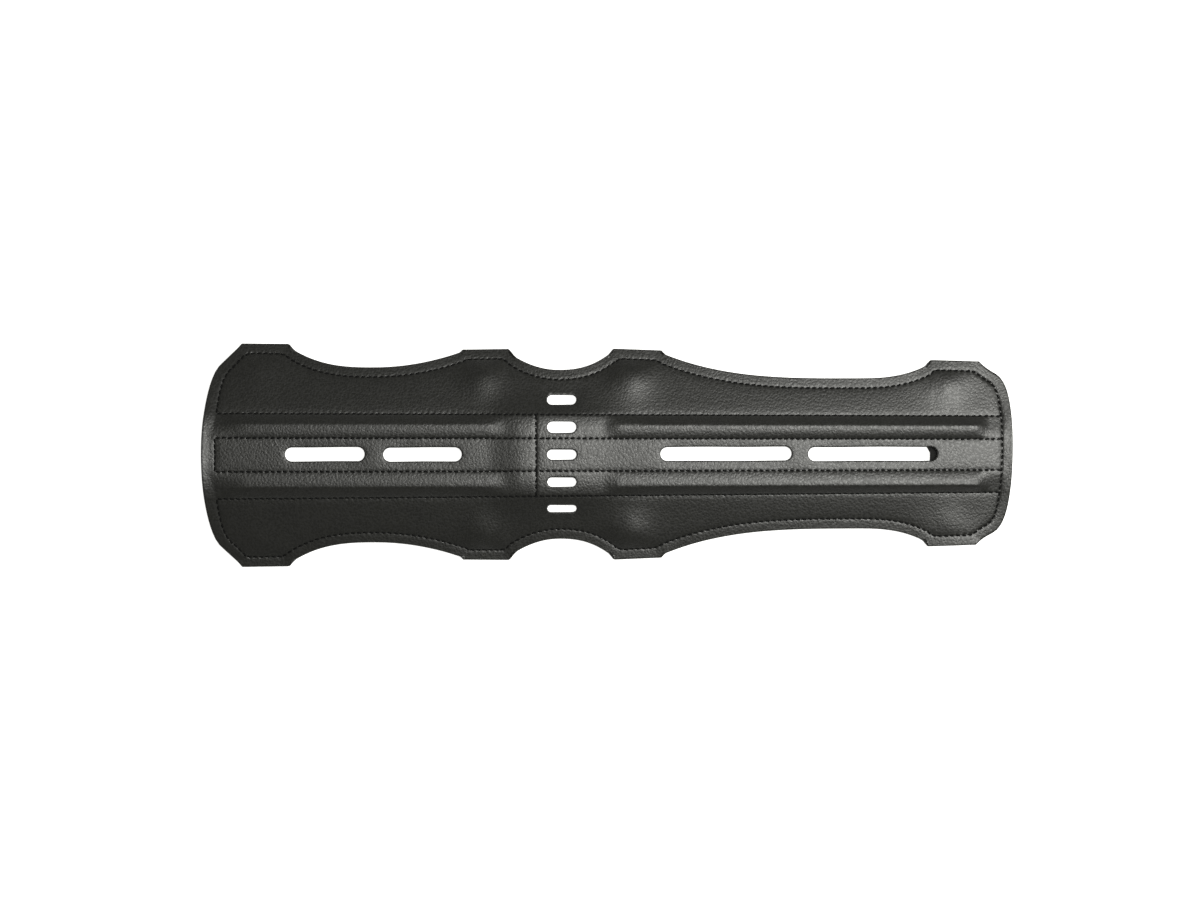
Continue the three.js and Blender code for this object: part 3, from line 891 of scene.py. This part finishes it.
def makeStitching(material, sewn):
    skin = BVHTree.FromPolygons([vert.co for vert in sewn.data.vertices],
                                [polygon.vertices for polygon in sewn.data.polygons])
    points, corners = oneStitch()
    allPoints, allCorners = [], []
    for middle, direction in stitches:
        spot, normal, _, _ = skin.ray_cast(Vector((middle.x * mm, middle.y * mm, 1.0)), Vector((0, 0, -1)))
        along = direction.to_3d()
        slant = math.radians(stitch["slant"]) * (1 if middle.y > 0 else -1)
        along = Matrix.Rotation(slant, 3, normal) @ (along - normal * along.dot(normal)).normalized()
        turn = Matrix((along, normal.cross(along), normal)).transposed()
        first = len(allPoints)
        allPoints += [spot + turn @ point for point in points]
        allCorners += [[first + i for i in polygon] for polygon in corners]
    print("stitching:", len(stitches), "stitches,", len(allCorners), "faces")
    mesh = bpy.data.meshes.new("stitching")
    mesh.from_pydata(allPoints, [], allCorners)
    bm = bmesh.new()
    bm.from_mesh(mesh)
    bpy.data.meshes.remove(mesh)
    return newPiece("stitching", bm, material)


facePiece = makeFace(syntheticLeather())
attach(facePiece, "root")
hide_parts("face")

backingPiece = makeBacking(brushedLining())
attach(backingPiece, "root")
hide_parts("backing")

stitchPiece = makeStitching(polyesterThread(), facePiece)
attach(stitchPiece, "root")

# Studio: a pale light table, one large soft light above, a camera straight above

studio = {
    "floorSize": 6.0, "floorColour": "#e8e8e6", "floorGlow": 1.2,
    "floorCloud": 0.5, "floorRoughness": (0.6, 0.7),     # metres from one smoother area to the next
    "lightPlace": (0.47, 0.085, 1.1), "lightSize": (0.9, 0.38), "lightPower": 15.0,
    "lightColour": "#fffffa",
    "overhead": 0.09, "around": 0.55,    # glow of the room above and round the table
    "glowBand": (0.2, 0.7),              # heights on the unit sphere where one gives way to the other
    "viewCentre": (-3.2, 1.75), "viewWidth": 504.0, "cameraHeight": 2.0, "sensor": 36.0,
    "viewPlane": 0.25,   # share of the face's height where the view is as wide as given
    "viewTurn": -0.17,   # degrees, as the guard lies in the photo
}


def makeFloor():         # opal acrylic sheet: matt, nearly white, glowing a little from within
    material = newMaterial("opal acrylic light table")
    place = addNode(material, "ShaderNodeTexCoord").outputs["Object"]
    cloud = addNode(material, "ShaderNodeTexNoise", values={"Scale": 1 / studio["floorCloud"]},
                    links={"Vector": place})
    low, high = studio["floorRoughness"]
    rough = addNode(material, "ShaderNodeMapRange", values={"To Min": low, "To Max": high},
                    links={"Value": cloud.outputs["Fac"]})
    glow = linear(studio["floorColour"])
    shader = addNode(material, "ShaderNodeBsdfPrincipled",
                     values={"Base Color": glow, "Emission Color": glow,
                             "Emission Strength": studio["floorGlow"], "Specular IOR Level": 0.1},
                     links={"Roughness": rough.outputs["Result"]})
    addNode(material, "ShaderNodeOutputMaterial", links={"Surface": shader.outputs["BSDF"]})
    bm = bmesh.new()
    bmesh.ops.create_grid(bm, x_segments=8, y_segments=8, size=studio["floorSize"] / 2)
    floor = newPiece("floor", bm, material, smooth=False)


def makeLight():         # one softbox, and a room that glows more at its sides than above
    light = bpy.data.lights.new("softbox", "AREA")
    light.shape = "RECTANGLE"
    light.size, light.size_y = studio["lightSize"]
    light.energy = studio["lightPower"]
    light.color = linear(studio["lightColour"])[:3]
    lamp = bpy.data.objects.new("softbox", light)
    lamp.location = studio["lightPlace"]
    bpy.context.scene.collection.objects.link(lamp)
    world = bpy.data.worlds.new("studio")
    world.use_nodes = True
    world.node_tree.nodes.clear()
    direction = addNode(world, "ShaderNodeTexCoord").outputs["Generated"]
    height = addNode(world, "ShaderNodeSeparateXYZ", links={"Vector": direction}).outputs["Z"]
    low, high = studio["glowBand"]
    glow = addNode(world, "ShaderNodeMapRange",
                   values={"From Min": low, "From Max": high,
                           "To Min": studio["around"], "To Max": studio["overhead"]},
                   links={"Value": height})
    background = addNode(world, "ShaderNodeBackground", links={"Strength": glow.outputs["Result"]})
    addNode(world, "ShaderNodeOutputWorld", links={"Surface": background.outputs["Background"]})
    bpy.context.scene.world = world


def makeCamera():
    camera = bpy.data.cameras.new("camera")
    low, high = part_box("face")
    planeHeight = mix(low.z, high.z, studio["viewPlane"])
    camera.sensor_width = studio["sensor"]
    camera.lens = studio["sensor"] * (studio["cameraHeight"] - planeHeight) / (studio["viewWidth"] * mm)
    eye = bpy.data.objects.new("camera", camera)
    x, y = studio["viewCentre"]
    eye.location = (x * mm, y * mm, studio["cameraHeight"])
    eye.rotation_euler.z = math.radians(studio["viewTurn"])
    bpy.context.scene.collection.objects.link(eye)
    bpy.context.scene.camera = eye


makeFloor()
makeLight()
makeCamera()
bpy.context.scene.view_settings.view_transform = "Standard"
print("studio: floor, softbox and camera")
